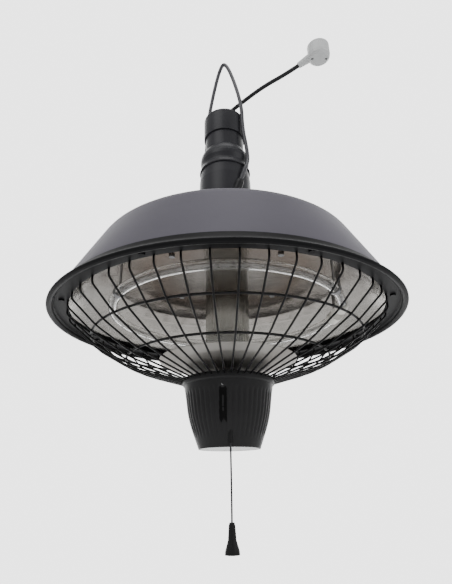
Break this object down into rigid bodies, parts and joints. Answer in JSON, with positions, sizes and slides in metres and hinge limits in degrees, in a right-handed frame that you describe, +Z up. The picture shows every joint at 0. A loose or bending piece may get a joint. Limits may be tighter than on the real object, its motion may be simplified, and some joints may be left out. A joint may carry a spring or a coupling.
{
  "type": "hanging patio heater",
  "caption": "Hanging halogen patio heater: conical metal shade, ring lamp under a reflector, domed wire guard, fluted pot with a pull switch, and a cord to hang it by",
  "frame": {"origin": "the hang point: the inside of the suspension cord at the top of its loop, on the axis of the shade", "axes": "+Z up along the axis of the shade, -Y towards the side with the pull cord, +X to its right"},
  "size_m": [0.4249, 0.425, 0.6951],
  "materials": {
    "shade_paint": "satin grey enamel",
    "neck_paint": "satin grey enamel",
    "rim_paint": "satin dark enamel",
    "pot_paint": "satin dark enamel, fluted",
    "reflector": "bright rolled sheet, slightly heat-stained",
    "polished_column": "polished",
    "guard_steel": "satin black enamel on wire",
    "zinc_steel": "zinc plated",
    "quartz": "clear quartz",
    "filament": "bare wire",
    "ceramic": "matt ceramic",
    "black_rubber": "matt",
    "black_plastic": "matt",
    "white_plastic": "moulded",
    "cord_jacket": "matt grey jacket",
    "pull_cord_fibre": "braided",
    "brass": "plain"
  },
  "bodies": {
    "heater": {"ceiling_outlet": "white_plastic", "column_sleeve": "polished_column", "column_spacer": "zinc_steel", "cord_eyelet": "black_plastic", "cord_ferrules": "zinc_steel", "cord_side_anchors": "black_rubber", "earth_screw": "brass", "guard_clips": "rim_paint", "guard_outer_ring": "rim_paint", "guard_radial_wires": "guard_steel", "guard_ring_lower": "guard_steel", "guard_ring_upper": "guard_steel", "guard_screws": "rim_paint", "lamp_end_caps": "ceramic", "lamp_end_posts": "zinc_steel", "lamp_filament": "filament", "lamp_quartz_tube": "quartz", "lamp_support_clips": "zinc_steel", "lead_gland": "black_plastic", "lead_strain_relief": "black_rubber", "lower_reflector_dish": "reflector", "mains_lead": "black_rubber", "neck_base_tube": "neck_paint", "neck_bridge_plate": "zinc_steel", "neck_cap": "neck_paint", "neck_collar": "neck_paint", "neck_flange_screws": "zinc_steel", "neck_upper_tube": "neck_paint", "outlet_cord_grip": "white_plastic", "pot_base_disc": "white_plastic", "pot_body": "pot_paint", "pot_screw": "zinc_steel", "pot_top_plate": "pot_paint", "pot_top_ring": "pot_paint", "reflector_screws": "zinc_steel", "reflector_spacers": "zinc_steel", "return_spring": "zinc_steel", "shade": "shade_paint", "suspension_cord": "cord_jacket", "switch_body": "black_plastic", "switch_bracket": "zinc_steel", "switch_cover": "black_plastic", "terminal_block": "white_plastic", "terminal_plate": "zinc_steel", "tie_rod": "zinc_steel", "tie_rod_nuts": "zinc_steel", "upper_reflector": "reflector"},
    "pull": {"switch_plunger": "white_plastic", "pull_cord": "pull_cord_fibre", "pull_toggle": "black_plastic"},
    "cam": {"ratchet_cam": "white_plastic"}
  },
  "joints": [
    {"name": "pull_switch", "type": "slide", "parent": "heater", "child": "pull", "axis": [0, 0, -1], "range_m": [0, 0.009], "stiffness_N_per_m": 150, "springref_m": -0.006, "deforming": ["return_spring"]},
    {"name": "cam_turn", "type": "hinge", "parent": "heater", "child": "cam", "pos_m": [-0.0053, -0.03, -0.52975], "axis": [0, 1, 0], "range_deg": [0, 90]}
  ],
  "couplings": [
    {"joint": "cam_turn", "follows": "pull_switch", "rad_per_m": 174.5}
  ]
}
